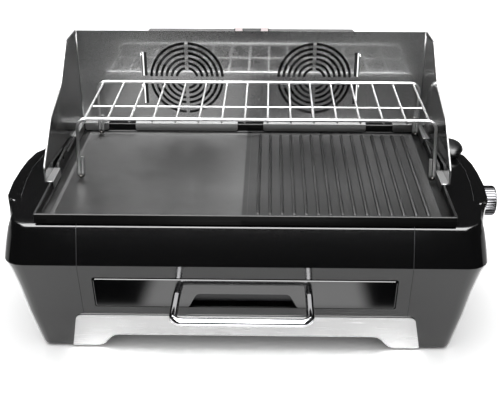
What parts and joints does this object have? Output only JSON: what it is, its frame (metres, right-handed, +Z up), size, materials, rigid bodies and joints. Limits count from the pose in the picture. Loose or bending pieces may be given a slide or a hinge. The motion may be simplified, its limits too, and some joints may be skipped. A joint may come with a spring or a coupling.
{
  "type": "smokeless indoor grill",
  "caption": "Electric tabletop grill with a split flat and ribbed plate, a folded steel windshield over two suction fans, a wire warming rack, a drip drawer and a side knob.",
  "frame": {"origin": "middle of the grill's outline on the table, under the lowest face of the feet", "axes": "+X to the right along the long side, towards the knob; +Y to the back, from the drawer towards the fan box; +Z up"},
  "size_m": [0.6516, 0.4375, 0.3408],
  "materials": {
    "gloss_black_plastic": "high gloss moulded",
    "matt_black_plastic": "matt moulded",
    "fan_plastic": "satin moulded",
    "coated_cast_aluminium": "cast with a dark non-stick coat",
    "polished_stainless": "polished sheet",
    "brushed_steel": "brushed along its length",
    "satin_steel": "satin sheet",
    "chrome": "bright plated",
    "zinc_plated_steel": "zinc plated",
    "dark_steel": "dark painted sheet",
    "element_sheath": "heat-darkened sheath",
    "rubber": "soft matt",
    "pale_key_plastic": "satin moulded"
  },
  "bodies": {
    "grill": {"base_pan": "matt_black_plastic", "base_screw_1": "zinc_plated_steel", "base_screw_2": "zinc_plated_steel", "base_screw_3": "zinc_plated_steel", "base_screw_4": "zinc_plated_steel", "cord_gland": "rubber", "cover_screw_1": "zinc_plated_steel", "cover_screw_2": "zinc_plated_steel", "cover_screw_3": "zinc_plated_steel", "cover_screw_4": "zinc_plated_steel", "drawer_runner_left": "zinc_plated_steel", "drawer_runner_right": "zinc_plated_steel", "element_bracket_left": "zinc_plated_steel", "element_bracket_right": "zinc_plated_steel", "fan_frame_left": "matt_black_plastic", "fan_frame_right": "matt_black_plastic", "fan_housing": "satin_steel", "fan_housing_cover": "satin_steel", "fan_motor_left": "dark_steel", "fan_motor_right": "dark_steel", "foot_front_left": "rubber", "foot_front_right": "rubber", "foot_rear_left": "rubber", "foot_rear_right": "rubber", "front_panel": "gloss_black_plastic", "heat_reflector": "zinc_plated_steel", "heating_element": "element_sheath", "inlet_hood": "gloss_black_plastic", "knob_bezel": "matt_black_plastic", "left_end_cap": "gloss_black_plastic", "rear_panel": "gloss_black_plastic", "right_end_cap": "gloss_black_plastic", "side_plate_left": "zinc_plated_steel", "side_plate_right": "zinc_plated_steel", "steel_trim": "brushed_steel", "switch_body_left": "dark_steel", "switch_body_right": "dark_steel", "switch_strip": "matt_black_plastic", "thermostat": "dark_steel"},
    "plate": {"griddle_plate": "coated_cast_aluminium"},
    "windshield": {"windshield": "polished_stainless"},
    "rack": {"warming_rack": "chrome"},
    "drawer": {"drawer_front": "gloss_black_plastic", "drawer_handle": "chrome", "drip_tray": "dark_steel"},
    "knob": {"control_knob": "chrome", "thermostat_shaft": "dark_steel"},
    "fan_l": {"fan_left": "fan_plastic"},
    "fan_r": {"fan_right": "fan_plastic"},
    "rocker_l": {"rocker_left": "pale_key_plastic"},
    "rocker_r": {"rocker_right": "pale_key_plastic"}
  },
  "joints": [
    {"name": "plate_lift", "type": "slide", "parent": "grill", "child": "plate", "axis": [0, 0, 1], "range_m": [0, 0.12]},
    {"name": "windshield_lift", "type": "slide", "parent": "plate", "child": "windshield", "axis": [0, 0, 1], "range_m": [0, 0.1]},
    {"name": "rack_lift", "type": "slide", "parent": "plate", "child": "rack", "axis": [0, 0, 1], "range_m": [0, 0.16]},
    {"name": "drawer_slide", "type": "slide", "parent": "grill", "child": "drawer", "axis": [0, -1, 0], "range_m": [0, 0.2]},
    {"name": "knob_turn", "type": "hinge", "parent": "grill", "child": "knob", "pos_m": [0.29978, -0.00725, 0.1545], "axis": [-1, 0, 0], "range_deg": [0, 270]},
    {"name": "fan_left_spin", "type": "hinge", "parent": "grill", "child": "fan_l", "pos_m": [-0.10342, 0.16905, 0.2695], "axis": [0, 1, 0], "continuous": true},
    {"name": "fan_right_spin", "type": "hinge", "parent": "grill", "child": "fan_r", "pos_m": [0.08458, 0.16905, 0.2695], "axis": [0, 1, 0], "continuous": true},
    {"name": "rocker_left_press", "type": "hinge", "parent": "grill", "child": "rocker_l", "pos_m": [-0.02722, 0.19175, 0.3318], "axis": [1, 0, 0], "range_deg": [-14, 0]},
    {"name": "rocker_right_press", "type": "hinge", "parent": "grill", "child": "rocker_r", "pos_m": [0.01078, 0.19175, 0.3318], "axis": [1, 0, 0], "range_deg": [-14, 0]}
  ]
}
